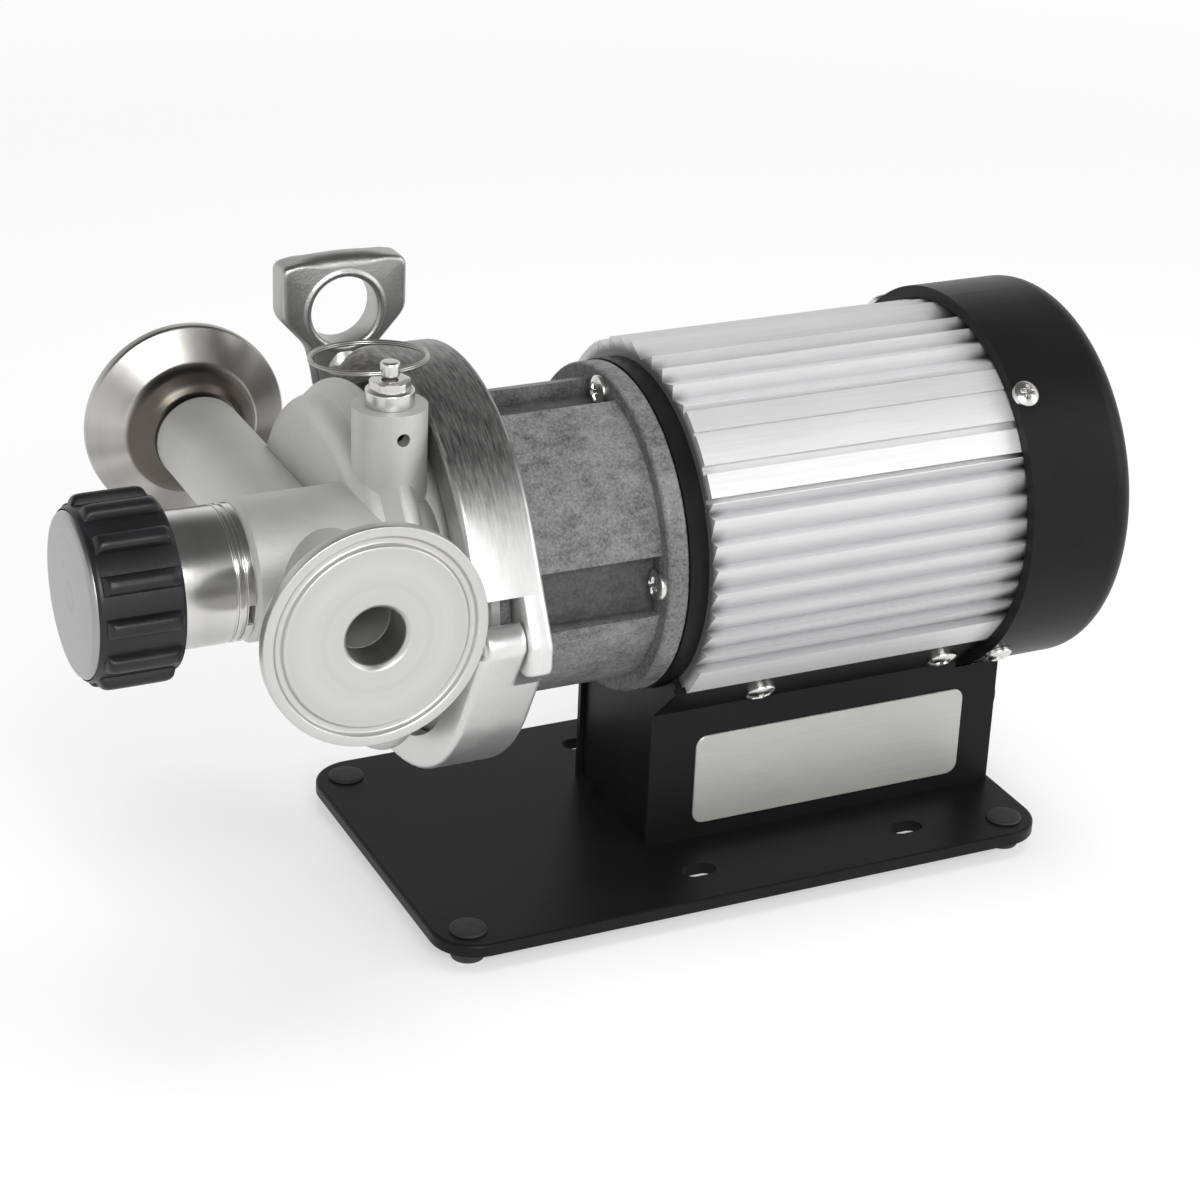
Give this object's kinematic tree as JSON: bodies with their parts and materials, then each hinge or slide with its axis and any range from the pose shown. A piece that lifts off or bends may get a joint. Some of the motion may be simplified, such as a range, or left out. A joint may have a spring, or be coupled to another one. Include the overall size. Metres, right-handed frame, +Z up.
{
  "type": "brewing pump",
  "caption": "Magnetically driven centrifugal pump with a clamped cast head, ferrule ports, throttle valve, vent pin and a finned motor on a footed base plate.",
  "frame": {"origin": "centre of the four base slots, on the underside of the base plate", "axes": "+X along the motor axis from the pump head to the fan cover; +Z up, square to the base plate; +Y towards the inlet side"},
  "size_m": [0.2565, 0.14, 0.1426],
  "materials": {
    "black_coat": "satin black powder coat",
    "black_rubber": "matte black rubber",
    "black_plastic": "glass filled black plastic, slightly mottled",
    "grey_plastic": "plain grey plastic",
    "white_plastic": "plain white plastic",
    "amber_plastic": "natural high temperature plastic",
    "ceramic": "ground white ceramic",
    "white_rubber": "white food grade silicone",
    "lamination": "oiled electrical steel",
    "magnet": "nickel plated magnets",
    "copper": "enamelled copper wire",
    "cast_aluminium": "bright extruded fins, satin",
    "cast_steel": "investment cast stainless, bead blasted matte",
    "turned_steel": "turned stainless, fine circular marks",
    "polished_steel": "mirror polished stainless",
    "clamp_steel": "tumbled stainless, brushed side faces",
    "nut_steel": "cast stainless, darker matte",
    "bright_steel": "bright nickel plated",
    "satin_cap": "satin silver disc"
  },
  "bodies": {
    "pump_body": {"base_plate": "black_coat", "rubber_feet": "black_rubber", "pedestal_box": "black_coat", "pedestal_screws": "bright_steel", "cradle_screws": "bright_steel", "motor_housing": "cast_aluminium", "cable_gland": "black_plastic", "run_capacitor": "grey_plastic", "terminal_block": "white_plastic", "front_shield": "black_coat", "rear_shield": "cast_aluminium", "front_bearing": "bright_steel", "rear_bearing": "bright_steel", "stator_core": "lamination", "stator_windings": "copper", "fan_cover": "black_coat", "fan_cover_screws": "bright_steel", "adapter_bracket": "black_plastic", "adapter_screws": "bright_steel", "separation_can": "amber_plastic", "head_gasket": "white_rubber", "impeller_shaft": "ceramic", "thrust_washers": "ceramic", "pump_head": "cast_steel", "inlet_ferrule": "turned_steel", "outlet_ferrule": "turned_steel", "valve_bonnet": "polished_steel", "bonnet_seal": "white_rubber", "vent_cap": "polished_steel", "vent_spring": "turned_steel", "clamp_lower": "clamp_steel", "hinge_pin": "turned_steel", "bolt_pin": "turned_steel"},
    "rotor": {"motor_shaft": "bright_steel", "rotor_core": "lamination", "magnet_hub": "lamination", "drive_magnets": "magnet", "cooling_fan": "grey_plastic"},
    "impeller": {"impeller": "amber_plastic", "driven_magnet": "amber_plastic", "impeller_bushing": "white_plastic"},
    "plunger": {"valve_plunger": "turned_steel", "plunger_seal": "white_rubber"},
    "knob": {"valve_stem": "turned_steel", "knob_grip": "black_rubber", "knob_cap": "satin_cap"},
    "vent_pin": {"vent_pin": "polished_steel"},
    "vent_ring": {"vent_ring": "bright_steel"},
    "clamp_upper": {"clamp_upper": "clamp_steel"},
    "swing_bolt": {"swing_bolt": "turned_steel"},
    "nut_washer": {"nut_washer": "turned_steel"},
    "wing_nut": {"wing_nut": "nut_steel"}
  },
  "joints": [
    {"name": "rotor_spin", "type": "hinge", "parent": "pump_body", "child": "rotor", "pos_m": [0, 0, 0.0812], "axis": [1, 0, 0], "continuous": true},
    {"name": "impeller_spin", "type": "hinge", "parent": "pump_body", "child": "impeller", "pos_m": [-0.1, 0, 0.0812], "axis": [1, 0, 0], "continuous": true},
    {"name": "valve_travel", "type": "slide", "parent": "pump_body", "child": "plunger", "axis": [-1, 0, 0], "range_m": [0, 0.006]},
    {"name": "knob_turn", "type": "hinge", "parent": "plunger", "child": "knob", "pos_m": [-0.14, -0.0209, 0.0943], "axis": [-1, 0, 0], "range_deg": [0, 720]},
    {"name": "vent_pin_lift", "type": "slide", "parent": "pump_body", "child": "vent_pin", "axis": [0, 0, 1], "range_m": [0, 0.003], "stiffness_N_per_m": 300, "deforming": ["vent_spring"]},
    {"name": "vent_ring_swing", "type": "hinge", "parent": "vent_pin", "child": "vent_ring", "pos_m": [-0.1048, -0.021, 0.1362], "axis": [1, 0, 0], "range_deg": [0, 150]},
    {"name": "clamp_open", "type": "hinge", "parent": "pump_body", "child": "clamp_upper", "pos_m": [-0.0878, -0.0515, 0.0817], "axis": [1, 0, 0], "range_deg": [0, 2.2]},
    {"name": "swing_bolt_pivot", "type": "hinge", "parent": "pump_body", "child": "swing_bolt", "pos_m": [-0.0878, 0.055, 0.0732], "axis": [-1, 0, 0], "range_deg": [0, 95]},
    {"name": "nut_travel", "type": "slide", "parent": "swing_bolt", "child": "nut_washer", "axis": [0, 0, 1], "range_m": [0, 0.005]},
    {"name": "wing_nut_spin", "type": "hinge", "parent": "nut_washer", "child": "wing_nut", "pos_m": [-0.0878, 0.055, 0.11], "axis": [0, 0, 1], "range_deg": [0, 1800]}
  ],
  "couplings": [
    {"joint": "impeller_spin", "follows": "rotor_spin", "ratio": 1},
    {"joint": "valve_travel", "follows": "knob_turn", "m_per_rad": 0.00047746},
    {"joint": "nut_travel", "follows": "wing_nut_spin", "m_per_rad": 0.00015915},
    {"joint": "clamp_open", "follows": "wing_nut_spin", "ratio": 0.001221}
  ]
}
